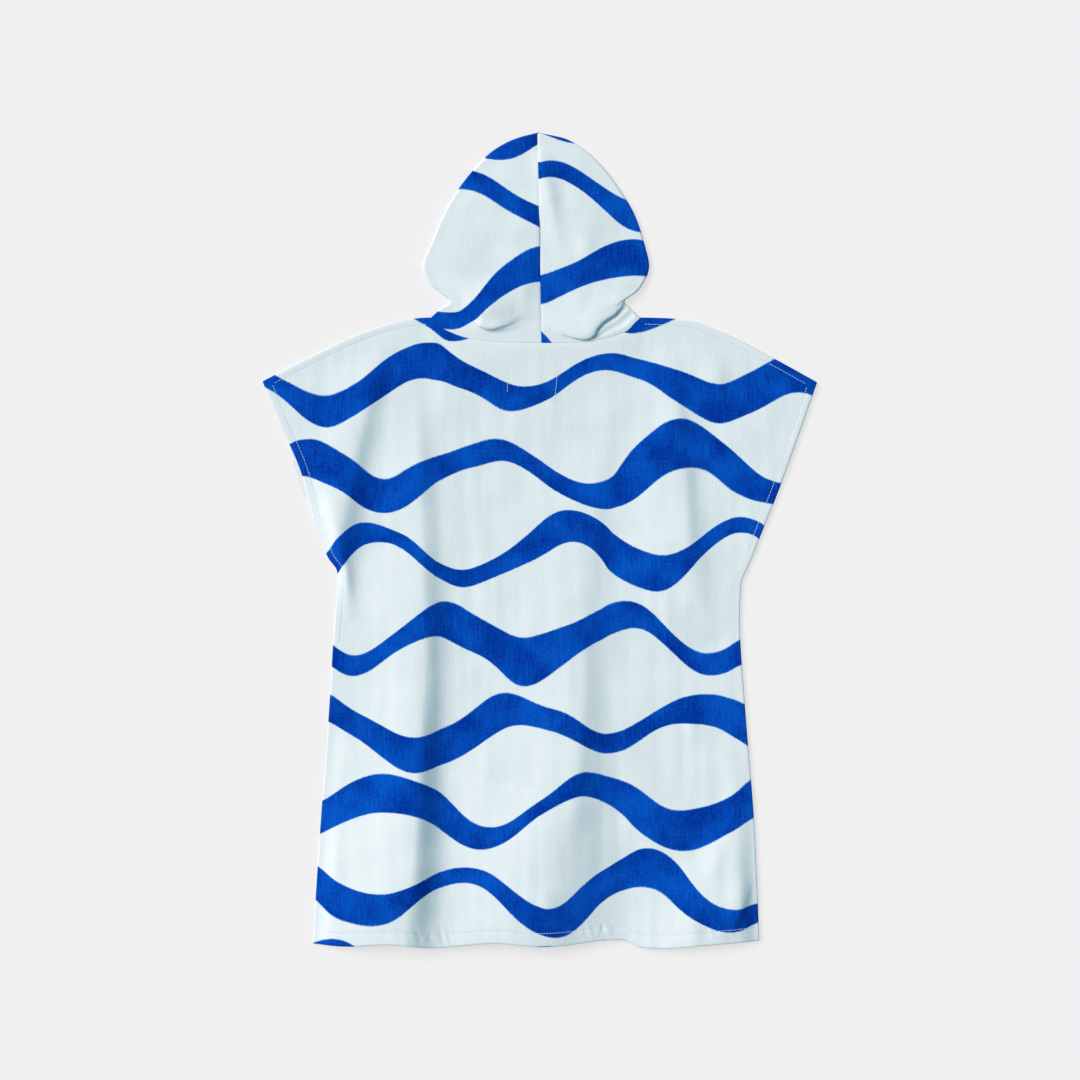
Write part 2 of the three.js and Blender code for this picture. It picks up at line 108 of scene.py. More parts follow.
# Smooth value of a table's column along its first one: a cubic between the rows whose slope at
# a row is the harmonic mean of the slopes beside it, so it never runs past a row's own value.
def readTable(rows, along, column, place):
    xs = np.array([row[along] for row in rows], dtype=float)
    ys = np.array([row[column] for row in rows], dtype=float)
    order = np.argsort(xs)
    xs, ys = xs[order], ys[order]
    rate = np.diff(ys) / np.diff(xs)
    before, after = rate[:-1], rate[1:]
    turning = before * after <= 0
    middle = np.where(turning, 0, 2 * before * after / np.where(turning, 1, before + after))
    slope = np.concatenate([rate[:1], middle, rate[-1:]])
    place = np.clip(place, xs[0], xs[-1])
    k = np.clip(np.searchsorted(xs, place, side="right") - 1, 0, len(xs) - 2)
    span = xs[k + 1] - xs[k]
    return cubic(ys, slope, k, span, (place - xs[k]) / span)


# From a to b by a share t
def mix(a, b, t):
    return a + (b - a) * t


# 0 to 1 with no corner at either end
def ease(t):
    t = np.clip(t, 0, 1)
    return t * t * (3 - 2 * t)


# The hood's middle seam leans a little
def seamX(y):
    return hoodSeam["x"] + hoodSeam["lean"] * (y - hoodSeam["y"])


def neckY(x):
    return readTable(topEdge, "x", "y", np.clip(x, neckEnd[-1]["x"], neckEnd[1]["x"]))


# Height of the neck seam: it falls with the square of the distance from the middle
def seamHeight(x):
    fall = np.minimum(1, (x / seamLevel["halfWidth"]) ** 2)
    return mix(seamLevel["middle"], seamLevel["shoulder"], fall)


# Vectors at a length of 1
def unit(vectors):
    return vectors / np.maximum(np.linalg.norm(vectors, axis=-1, keepdims=True), 1e-9)


# Height of a set of folds at each point: a bell across every crest, with its own width on each
# hand, whose height and widths run evenly between the rows of the crest's table.
def foldRise(folds, x, y):
    rise = np.zeros_like(x)
    for crest in folds:
        nearest = np.full_like(x, np.inf)
        width = np.ones_like(x)
        height = np.zeros_like(x)
        for a, b in zip(crest[:-1], crest[1:]):
            dx, dy = b["x"] - a["x"], b["y"] - a["y"]
            t = np.clip(((x - a["x"]) * dx + (y - a["y"]) * dy) / (dx * dx + dy * dy), 0, 1)
            distance = np.hypot(x - a["x"] - t * dx, y - a["y"] - t * dy)
            onLeft = dx * (y - a["y"]) - dy * (x - a["x"]) > 0
            here = np.where(
                onLeft, mix(a["left"], b["left"], t), mix(a["right"], b["right"], t)
            )
            closer = distance < nearest
            nearest = np.where(closer, distance, nearest)
            width = np.where(closer, here, width)
            height = np.where(closer, mix(a["rise"], b["rise"], t), height)
        rise += height * np.exp(-((nearest / width) ** 2))
    return rise


unevenness = {"waves": 26, "usualSum": 3.0}  # the sum of so many waves is seldom higher


# Slight unevenness of cloth that lies by itself: a sum of sine waves in all directions whose
# heights grow with their lengths, all drawn out along y
def lieUneven(x, y, slack, seed):
    rng = np.random.default_rng(seed)
    total = np.zeros_like(x)
    for wave in range(unevenness["waves"]):
        length = rng.uniform(slack["shortest"], slack["longest"])
        angle = rng.uniform(0, np.pi)
        phase = rng.uniform(0, 2 * np.pi)
        across = x * np.cos(angle) + slack["drawn"] * y * np.sin(angle)
        total += length / slack["longest"] * np.sin(2 * np.pi * across / length + phase)
    return total * slack["height"] / unevenness["usualSum"]


# Unit normals of a grid of points, from the differences between its neighbours
def gridNormals(grid):
    return unit(np.cross(np.gradient(grid, axis=1), np.gradient(grid, axis=0)))


# Smooth piece from points in millimetres and faces, with its place in its mesh
def makePiece(name, points, faces):
    mesh = bpy.data.meshes.new(name)
    mesh.from_pydata((points * millimetre).tolist(), [], faces)
    mesh.polygons.foreach_set("use_smooth", np.ones(len(faces), dtype=bool))
    mesh.update()
    piece = bpy.data.objects.new(name, mesh)
    bpy.context.scene.collection.objects.link(piece)
    return piece


rimShape = {"bulge": 0.3, "printed": 0.75}  # bulge is in parts of the thickness


# Closed wall from a grid of points on its outer face. The inner face is the grid moved inwards
# by the thickness, and a row of points that stands out round the rim rounds the edge off.
# flip says that rows and columns run the other way round, cloth holds each point's place on
# the flat cloth, and printed tells the outer face from the plain one.
def makeWall(name, outer, thickness, cloth, flip, normal):
    inner = outer - normal * thickness[..., None]
    count = outer[..., 0].size
    index = np.arange(count).reshape(outer.shape[:2])
    loop = np.concatenate([index[0, :-1], index[:-1, -1], index[-1, :0:-1], index[:0:-1, 0]])
    flatOuter, flatInner = outer.reshape(-1, 3), inner.reshape(-1, 3)
    along = np.roll(flatOuter[loop], -1, 0) - np.roll(flatOuter[loop], 1, 0)
    outwards = unit(np.cross(along, normal.reshape(-1, 3)[loop]) * (-1 if flip else 1))
    bulge = rimShape["bulge"] * thickness.reshape(-1)[loop][:, None]
    rim = (flatOuter[loop] + flatInner[loop]) / 2 + outwards * bulge
    points = np.concatenate([flatOuter, flatInner, rim])
    points[:, 2] = np.maximum(points[:, 2], 0)

    a, b, c, d = index[:-1, :-1], index[:-1, 1:], index[1:, 1:], index[1:, :-1]
    top = np.stack([a, b, c, d], axis=-1).reshape(-1, 4)
    low = np.stack([a, d, c, b], axis=-1).reshape(-1, 4) + count
    rimIndex = np.arange(len(loop)) + 2 * count
    nextRim, nextLoop = np.roll(rimIndex, -1), np.roll(loop, -1)
    upper = np.stack([nextLoop, loop, rimIndex, nextRim], axis=-1)
    lower = np.stack([nextRim, rimIndex, loop + count, nextLoop + count], axis=-1)
    faces = np.concatenate([top, low, upper, lower])
    if flip:
        faces = faces[:, ::-1]
    piece = makePiece(name, points, faces.tolist())

    mesh = piece.data
    flatCloth = cloth.reshape(-1, 2)
    place = np.concatenate([flatCloth, flatCloth, flatCloth[loop]]) * millimetre
    corners = np.empty(len(mesh.loops), dtype=np.int32)
    mesh.loops.foreach_get("vertex_index", corners)
    uv = mesh.uv_layers.new(name="cloth")
    uv.data.foreach_set("uv", place[corners].astype(np.float32).ravel())
    printed = mesh.attributes.new("printed", "FLOAT", "POINT")
    onRim = np.full(len(loop), rimShape["printed"])
    side = np.concatenate([np.ones(count), np.zeros(count), onRim])
    printed.data.foreach_set("value", side.astype(np.float32))
    return piece


# Places along a length: fixed distances from both ends, and even steps between them
def paceOut(edge, count, low, high):
    edge = np.array(edge, dtype=float)
    inner = np.linspace(low + edge[-1], high - edge[-1], count + 1)[1:-1]
    return np.concatenate([low + edge, inner, (high - edge)[::-1]])


# Plan of a body panel. Columns run from the hem to the shoulders and the neck, rows keep their
# distance from the hem and from the top, and the curves of the sides fade out across it.
def panelPlan(panel, topY, sideX):
    edge = panel["sideSteps"]
    low, high = bottomEdge[0]["x"] + panel["inset"], bottomEdge[-1]["x"] - panel["inset"]
    xBottom = paceOut(edge, panel["columns"], low, high)
    xTop = paceOut(edge, panel["columns"], topEdge[0]["x"], topEdge[-1]["x"])
    yBottom = readTable(bottomEdge, "x", "y", xBottom) + panel["inset"]
    yTop = topY(xTop)
    hem = np.array(panel["hemSteps"], dtype=float)[:, None]
    head = np.array(panel["headSteps"], dtype=float)[::-1, None]
    even = np.linspace(0, 1, panel["rows"] + 1)[1:-1, None]
    inner = mix(yBottom + hem[-1], yTop - head[0], even)
    y = np.concatenate([yBottom + hem, inner, yTop - head])
    rise = (y - yBottom) / (yTop - yBottom)
    u = (xBottom - xBottom[0]) / (xBottom[-1] - xBottom[0])
    x = mix(xBottom, xTop, rise)
    for share, hand, corner in ((1 - u, "left", 0), (u, "right", -1)):
        straight = mix(xBottom[corner], xTop[corner], rise[:, corner])
        x += share * (sideX(hand, y[:, corner]) - straight)[:, None]
    return x, y, y - yBottom, yTop - y


# Distance along a grid's rows and columns, which is where a point lies on the flat cloth
def flatPlace(grid, middle, offset):
    across = np.linalg.norm(np.diff(grid, axis=1), axis=2).cumsum(axis=1)
    across = np.concatenate([np.zeros((len(grid), 1)), across], axis=1)
    across -= across[:, middle:middle + 1] - grid[:, middle:middle + 1, 0]
    along = np.linalg.norm(np.diff(grid, axis=0), axis=2).cumsum(axis=0)
    along = np.concatenate([np.zeros((1, grid.shape[1])), along], axis=0) + grid[:1, :, 1]
    return np.stack([across + offset[0], along + offset[1]], axis=-1)


turnedEdge = {"roll": 0.35, "full": 0.1, "pull": 0.15, "width": 1.6}


# Relief of a turned and stitched edge at a distance from it: the edge rolls over, the turned
# cloth is a little full, and the stitches pull it down, where there are stitches (held 1)
def edgeRelief(distance, stitchAt, held=1.0):
    roll = -turnedEdge["roll"] * np.clip(1 - distance / turnedEdge["width"], 0, 1) ** 2
    full = turnedEdge["full"] * np.sin(np.pi * np.clip(distance / stitchAt, 0, 1))
    pull = -turnedEdge["pull"] * np.exp(-((distance - stitchAt) / turnedEdge["width"]) ** 2)
    return roll + held * (full + pull)


# What both panels share: where their edges are turned in and stitched
panelEdges = {
    "hemStitch": 15.3,
    "sideStitch": 8.0,
    "headStitch": 7.2,
    "sideStitchFrom": {"left": -118, "right": -14},
    "turnedDepth": {"hem": 17.3, "side": 11, "top": 10, "fade": 2},
    "cut": (0.676, 0.752),
}


# The back, all of which shows
back = {
    **panelEdges,
    "columns": 178,
    "rows": 188,
    "inset": 0.0,
    "sideSteps": [0, 0.7, 1.6, 3, 4.8, 6.4, 7.7, 9, 10.3, 12],
    "hemSteps": [0, 0.7, 1.6, 3.2, 5.5, 8, 10.5, 12.5, 14, 15.3, 16.6, 18.2, 20.5],
    "headSteps": [0, 0.7, 1.6, 3, 4.6, 6, 7.2, 8.4, 10, 12.5],
    "shortRows": [
        {"x": -36.0, "high": 197.0, "low": 166.0, "lean": 0.09},
        {"x": 20.5, "high": 194.0, "low": 154.0, "lean": 0.12},
    ],
    "thickness": 1.6,
    "turned": 2.3,
    "trim": 0.2,  # off the thickness, which keeps it clear of the front
    "lying": 4.8,  # height on the front's turned edges
    "rest": 3.6,  # height between them
    "sink": {"side": 60, "hem": 60, "top": 160},
    "foldFade": {"side": 22, "atArm": 13, "armY": -28, "armReach": 34, "top": 40},
    "slacks": [
        {"seed": 4, "shortest": 30, "longest": 130, "height": 0.55, "drawn": 1.0, "fade": 30},
        {"seed": 21, "shortest": 10, "longest": 30, "height": 0.16, "drawn": 0.13, "fade": 14},
    ],
    "neckSeam": {"middle": 1, "halfWidth": 126, "fade": 12, "reach": 40, "sink": 0.45, "width": 2.6},
    "stitchFade": 30,
    "area": 0.4,
    "clothOffset": (31.0, 14.0),  # where in the printed cloth it's cut
}
# Folds, each a crest walked from its first row to its last: rise is its height there, and left
# and right are the widths of its slopes on either hand
crestColumns = "x y rise left right"
bodyFolds = [table(crestColumns, crest) for crest in (
    [
        (-157, -470, 17, 84, 29), (-152, -414, 23, 84, 29), (-147, -368, 23.5, 80, 26),
        (-142, -299, 19.5, 72, 21), (-139, -230, 14, 62, 19), (-134, -161, 12, 56, 18),
        (-135, -69, 9.8, 52, 18), (-136, 0, 6.8, 46, 16), (-138, 80, 4.6, 38, 14),
        (-144, 175, 0, 30, 14),
    ],
    [
        (-236, -105, 0, 20, 13), (-232, -50, 6.5, 24, 13), (-232, 0, 11.5, 36, 17),
        (-218, 80, 8.6, 40, 17), (-199, 161, 5.5, 34, 15), (-181, 215, 0, 30, 14),
    ],
    [
        (-8, -470, 16, 104, 66), (-5, -414, 21, 104, 66), (10, -368, 19, 100, 60),
        (36, -299, 14, 98, 34), (42, -230, 10, 85, 26), (46, -161, 7.5, 75, 21),
        (39, -69, 5.5, 64, 27), (56, 0, 3.8, 54, 23), (67, 80, 1.8, 40, 15), (70, 125, 0, 30, 15),
    ],
    [
        (128, -470, 4, 22, 70), (128, -420, 3, 22, 70), (124, -330, 1.5, 24, 60),
        (118, -240, 0, 24, 50),
    ],
    [
        (198, -120, 0, 44, 22), (178, -69, 4.4, 54, 19), (168, 0, 8, 56, 19),
        (163, 80, 5.8, 44, 15), (156, 161, 3.5, 30, 11), (152, 225, 0, 28, 11),
    ],
    [(206, 145, 0, 18, 11), (203, 185, 3, 20, 11), (198, 232, 0, 18, 10)],
    [
        (232, -240, 0, 70, 14), (226, -300, 2.5, 80, 14), (217, -345, 4.8, 90, 17),
        (194, -400, 8.6, 84, 31), (185, -440, 9.4, 80, 33), (181, -472, 8, 80, 34),
    ],
)]
# Small creases, which are only in the visual
bodyCreases = [table(crestColumns, crest) for crest in (
    [(166, -180, 0, 14, 7), (173, -205, 1.6, 14, 7), (178, -235, 0, 12, 7)],
    [(138, -60, 0, 14, 7), (147, -92, 1.4, 14, 7), (156, -122, 0, 12, 7)],
    [(-108, 228, 0, 16, 9), (-109, 180, 1.8, 18, 9), (-107, 120, 0, 16, 9)],
    [(-64, -5, 0, 22, 10), (-63, -70, 1.6, 22, 10), (-66, -150, 0, 20, 10)],
    [(2, 130, 0, 24, 11), (0, 70, 1.2, 24, 11), (-4, 10, 0, 20, 10)],
    [(4, -395, 0, 12, 8), (8, -425, 2.4, 12, 8), (12, -455, 0.6, 12, 8)],
    [(226, -30, 0, 10, 6), (216, -62, 0.7, 11, 7), (214, -110, 0, 10, 6)],
    [(-236, -27, 1.4, 4, 4), (-222, -38, 0, 4, 4)],
    [(-233, -41, 1.6, 5, 4), (-216, -57, 0, 5, 4)],
    [(234, -34, 1.4, 4, 4), (220, -46, 0, 4, 4)],
    [(-231, -14, 0.8, 6, 7), (-225, -40, 3.0, 8, 8), (-221, -96, 0, 8, 8)],
    [
        (217, -454, 0, 16, 4), (226, -434, 3.4, 20, 4), (237, -408, 3.8, 20, 4),
        (246, -380, 0, 12, 4),
    ],
    [(-200, 150, 0, 30, 12), (-190, 186, 2.2, 30, 11), (-183, 212, 0, 26, 11)],
)]
# Places along the hem that the seam draws together into little puckers. They lean, stray by two
# sine waves along the hem, differ in height by a third, and are highest at a distance from it.
hemGathers = [
    {"x": -121, "spread": 24, "pitch": 9.0, "height": 1.5},
    {"x": 69, "spread": 18, "pitch": 8.2, "height": 1.5},
    {"x": 205, "spread": 30, "pitch": 15.0, "height": 0.5},
]
pucker = {
    "lean": 0.3,
    "strays": [{"by": 2.4, "over": 5.3, "from": 0}, {"by": 1.7, "over": 2.9, "from": 1}],
    "unlike": 0.3,
    "unlikeOver": 3.7,
    "highest": 12,
    "reach": 9,
}


def backSide(hand, y):
    x = readTable(sideEdges, "y", hand, y)
    along = (y - cuffShift["low"]) / (cuffShift["high"] - cuffShift["low"])
    inset = cuffShift["inset"] * np.sin(np.pi * np.clip(along, 0, 1))
    return x + inset if hand == "left" else x


def bodyTop(x):
    return readTable(topEdge, "x", "y", x)


# The back's outer face: it lies on the front's turned edges, sinks between them, rises to the
# neck seam and is lifted by the folds
def backGrid():
    x, y, toHem, toTop = panelPlan(back, bodyTop, backSide)
    toSide = np.minimum(x - x[:, :1], x[:, -1:] - x)
    sink, fade, neckSeam = back["sink"], back["foldFade"], back["neckSeam"]
    sunk = ease(toSide / sink["side"]) * ease(toHem / sink["hem"]) * ease(toTop / sink["top"])
    atNeck = (x > neckEnd[-1]["x"]) & (x < neckEnd[1]["x"])
    neck = np.where(atNeck, seamHeight(x) - back["lying"], 0)
    neck = neck * np.exp(-((toTop / neckSeam["reach"]) ** 2))
    z = mix(back["lying"], back["rest"], sunk) + neck
    # The folds fade out towards the sides, but reach nearly to the edge at the left underarm
    atArm = np.exp(-(((y - fade["armY"]) / fade["armReach"]) ** 2)) * (x < 0)
    sideFade = fade["side"] - (fade["side"] - fade["atArm"]) * atArm
    free = ease(toSide / sideFade) * ease(toTop / fade["top"])
    z = z + (foldRise(bodyFolds, x, y) + foldRise(bodyCreases, x, y)) * free
    for slack in back["slacks"]:
        uneven = lieUneven(x, y, slack, slack["seed"])
        z = z + uneven * ease(toSide / slack["fade"]) * ease(toTop / slack["fade"])
    strayed = x + pucker["lean"] * toHem
    for stray in pucker["strays"]:
        strayed = strayed + stray["by"] * np.sin(x / stray["over"] + stray["from"])
    unlike = 1 - pucker["unlike"] + pucker["unlike"] * np.sin(x / pucker["unlikeOver"])
    upHem = np.exp(-((toHem - pucker["highest"]) / pucker["reach"]) ** 2)
    for gather in hemGathers:
        near = np.exp(-((x - gather["x"]) / gather["spread"]) ** 2)
        wave = np.sin(2 * np.pi * strayed / gather["pitch"]) * unlike
        z = z + gather["height"] * near * wave * upHem
    # Along the neck the edge is a seam, which sinks; elsewhere it's a turned edge
    inNeck = neckSeam["halfWidth"] - np.abs(x - neckSeam["middle"])
    seam = ease(inNeck / neckSeam["fade"]) * (toTop < neckSeam["reach"])
    head = edgeRelief(toTop, back["headStitch"]) * (1 - seam)
    head -= seam * neckSeam["sink"] * np.exp(-((toTop / neckSeam["width"]) ** 2))
    lowest = np.where(x < 0, back["sideStitchFrom"]["left"], back["sideStitchFrom"]["right"])
    held = ease((y - lowest) / back["stitchFade"])
    sides = edgeRelief(toSide, back["sideStitch"], held)
    z = z + edgeRelief(toHem, back["hemStitch"]) + sides + head
    return np.stack([x, y, z], axis=-1), toHem, toSide, toTop


# Thickness of a panel's wall: turned over at the edges and one layer elsewhere
def panelThickness(panel, toHem, toSide, toTop):
    depth = panel["turnedDepth"]
    edge = np.zeros_like(toHem)
    for name, distance in (("hem", toHem), ("side", toSide), ("top", toTop)):
        edge = np.maximum(edge, ease((depth[name] - distance) / depth["fade"]))
    return mix(panel["thickness"], panel["turned"], edge)


def makeBack():
    grid, toHem, toSide, toTop = backGrid()
    thickness = panelThickness(back, toHem, toSide, toTop) - back["trim"]
    cloth = flatPlace(grid, grid.shape[1] // 2, back["clothOffset"])
    normals = gridNormals(grid)
    # On the rim the wall goes straight down, so that it stays inside the outline
    rim = np.ones(grid.shape[:2], dtype=bool)
    rim[1:-1, 1:-1] = False
    normals[rim] = (0, 0, 1)
    return makeWall("back_panel", grid, thickness, cloth, False, normals), grid


# The front, which shows only at the left cuff and along the shoulders. It lies flat.
front = {
    **panelEdges,
    "columns": 92,
    "rows": 96,
    "inset": 1.0,
    "sideSteps": [0, 0.7, 1.6, 4, 7, 9, 11, 14],
    "hemSteps": [0, 0.7, 1.6, 4, 8, 12, 15.3, 18, 22],
    "headSteps": [0, 0.7, 1.6, 4, 6, 7.2, 9, 12],
    "shortRows": [],
    "thickness": 1.5,
    "turned": 2.2,
    "trim": 0.1,
    "neckGap": 0.4,  # between its neckline and the hood's lower edge
    "reliefShare": 0.5,
    "reliefLimit": 0.5,
    "area": 0.385,
    "clothOffset": (247.0, 120.0),
}


# Top of the front: the shoulders, and between them a deeper neckline, half an ellipse
def frontTop(x):
    middle, gap = seamX(frontNeckY), front["neckGap"]
    onLeft = x < middle
    endX = np.where(onLeft, neckEnd[-1]["x"] - gap, neckEnd[1]["x"] + gap)
    endY = np.where(onLeft, neckEnd[-1]["y"], neckEnd[1]["y"])
    across = np.clip((x - middle) / (endX - middle), 0, 1)
    scoop = endY + (frontNeckY - gap - endY) * np.sqrt(1 - across ** 2)
    return np.where(across < 1, scoop, bodyTop(x))


def frontSide(hand, y):
    return readTable(sideEdges, "y", hand, y) + (1 if hand == "left" else -1) * front["inset"]


def makeFront():
    x, y, toHem, toTop = panelPlan(front, frontTop, frontSide)
    toSide = np.minimum(x - x[:, :1], x[:, -1:] - x)
    relief = edgeRelief(toHem, front["hemStitch"]) + edgeRelief(toSide, front["sideStitch"])
    z = np.clip(-relief * front["reliefShare"], 0, front["reliefLimit"])
    grid = np.stack([x, y, z], axis=-1)
    thickness = panelThickness(front, toHem, toSide, toTop) - z - front["trim"]
    # It lies flat, so a point's plan is its place on the flat cloth
    cloth = grid[..., :2] + front["clothOffset"]
    normals = np.zeros_like(grid)
    normals[..., 2] = -1
    return makeWall("front_panel", grid, thickness, cloth, True, normals), grid


# The hood's halves, in sections from the neck seam to the crown. A section runs from the
# middle seam out to the edge, turns under, and comes back to the edge of the face opening.
hood = {
    "baseRows": 74,
    "crownRows": 84,
    "topColumns": 104,
    "turnColumns": 14,
    "underColumns": 46,
    "baseEnd": 5,  # sections that the fold over the base takes up
    "scoopEnd": 2,  # sections that follow the front's neckline
    "thickness": 1.7,
    "turned": 2.4,
    "height": 7.6,
    "edgeHeight": 5.8,
    "edgeReach": 50,
    "seamReach": 12,
    "baseLength": {"middle": 63.0, "edge": 81.0},
    "lipTurn": 0.66,  # share of the base's rows below the fold's outer edge
    "crownReach": 27,  # half width at which the crown starts to close onto the middle seam
    "endInset": 3.6,
    "seamGap": 0.05,
    "neckGap": 0.1,
    "seamSink": (0.3, 0.1),
    "middleSeam": {"sink": 0.4, "width": 1.8, "from": 2, "over": 6},
    "settle": {"edge": 20, "from": 16, "over": 14},
    "slack": {"shortest": 22, "longest": 90, "height": 0.5, "drawn": 1.0},
    "slackSeed": {-1: 10, 1: 12},
    "underBend": 0.25,
    "underStep": 2.4,  # about the width of a column in the layer below
    "turnedDepth": 16,
    "turnedFade": 3,
    "cut": (0.245, 0.33),
    "area": 0.06,
    "clothOffset": {-1: (412.0, 108.0), 1: (137.0, 281.0)},
}
hoodSections = table("edgeY left right seamY face faceY", [
    (255, 126, 116, 226, 0, 170),
    (266, 114, 104, 235, 15, 186),
    (274, 104.5, 97.5, 245, 27, 204),
    (285, 116, 111.5, 256, 37, 223),
    (297, 129, 120, 270, 45, 244),
    (315, 135, 125.5, 289, 51, 268),
    (344, 124, 119, 312, 53, 298),
    (372, 112, 109.5, 334, 51, 326),
    (400, 96, 93.5, 355, 45, 350),
    (427, 75, 73.5, 374, 36, 372),
    (448, 53, 51.5, 390, 25, 390),
    (461.5, 27, 28, 402, 12, 403),
    (468, 0, 0, 411, 0, 408),
])
# Pleats on the right strip: two to a strip's width, from a share of the way out to the edge
pleats = {
    "height": 0.42,
    "perStrip": 2,
    "start": 0.15,
    "end": 1.15,
    "endFade": 0.2,
    "narrowest": 4,  # least width that a strip counts as
    "fromShare": 0.55,
    "shareFade": 0.15,
    "seamFade": 5,
}
# How the hood folds over its own base, from the middle seam (share 0) out to its edge. A strip
# shows beside the neck seam, goes on under the bulk of the hood by over, and turns back up.
baseFold = {
    -1: table("share strip over lift hold", [
        (0.0, 8, 0, 0.3, 0.0), (0.2, 11, 0, 1.4, 0.2), (0.36, 9, 0.6, 3.8, 0.55),
        (0.52, 8.5, 2.4, 5.8, 0.8), (0.65, 13, 2.4, 5.6, 0.85), (0.74, 18, 1.2, 3.2, 0.7),
        (0.82, 20, 0.2, 1.6, 0.6), (0.91, 17, 1, 1.6, 0.75), (1.0, 15.5, 1, 1.4, 0.8),
    ]),
    1: table("share strip over lift hold", [
        (0.0, 6, 0, 0.3, 0.0), (0.12, 4, 0.5, 1.2, 0.35), (0.26, 2.5, 2.5, 2.6, 0.75),
        (0.4, 2.5, 5, 3.8, 0.95), (0.5, 3.5, 7.5, 4.6, 1.0), (0.58, 7, 10, 5.2, 1.0),
        (0.66, 15, 11, 5.2, 1.0), (0.78, 22, 11, 5.2, 1.0), (0.9, 24, 8, 4.6, 1.0),
        (1.0, 22, 2, 3.0, 0.8),
    ]),
}
# Its profile: how far in a point is, in parts of the strip, the overlap and the rest of the
# base, and how high it is in parts of the lift
foldProfile = table("turn strip over rest up", [
    (0.0, 0.0, 0.0, 0.0, 0.0),
    (0.14, 0.5, 0.0, 0.0, 0.0),
    (0.28, 1.0, 0.35, 0.0, 0.03),
    (0.39, 1.0, 1.0, 0.0, 0.17),
    (0.47, 1.0, 0.62, 0.0, 0.34),
    (0.55, 1.0, 0.12, 0.0, 0.42),
    (0.62, 1.0, -0.05, 0.01, 0.68),
    (0.69, 1.0, 0.1, 0.05, 0.93),
    (0.79, 1.0, 0.1, 0.3, 0.82),
    (0.9, 1.0, 0.0, 0.66, 0.38),
    (1.0, 1.0, 0.0, 1.0, 0.0),
])
hoodFolds = [table(crestColumns, crest) for crest in (
    [
        (22, 330, 0, 9, 9), (16, 366, 2.5, 12, 11), (11, 391, 3.8, 11, 11), (4, 431, 2.6, 8, 10),
        (0, 452, 0, 8, 8),
    ],
    [(-19, 262, 0, 22, 12), (-20, 290, 3, 24, 12), (-22, 340, 0, 22, 12)],
    [(-90, 270, 0, 18, 16), (-58, 268, 4, 24, 12), (-30, 262, 0, 18, 10)],
    [(36, 372, 0, 14, 9), (52, 335, 1.6, 14, 9), (66, 300, 0, 14, 9)],
)]


# Smooth curve through knots, at every column at once: a cubic between knots whose slope at a
# knot is that of the line through its two neighbours
def throughKnots(knots, values, places):
    slope = np.gradient(values, knots, axis=0)
    k = np.clip(np.searchsorted(knots, places, side="right") - 1, 0, len(knots) - 2)
    span = (knots[k + 1] - knots[k])[:, None]
    return cubic(values, slope, k, span, (places - knots[k])[:, None] / span)


# Value of a column of the sections at a place, which is a section's number
def section(name, place):
    numbered = [{"index": index, **row} for index, row in enumerate(hoodSections)]
    return readTable(numbered, "index", name, place)


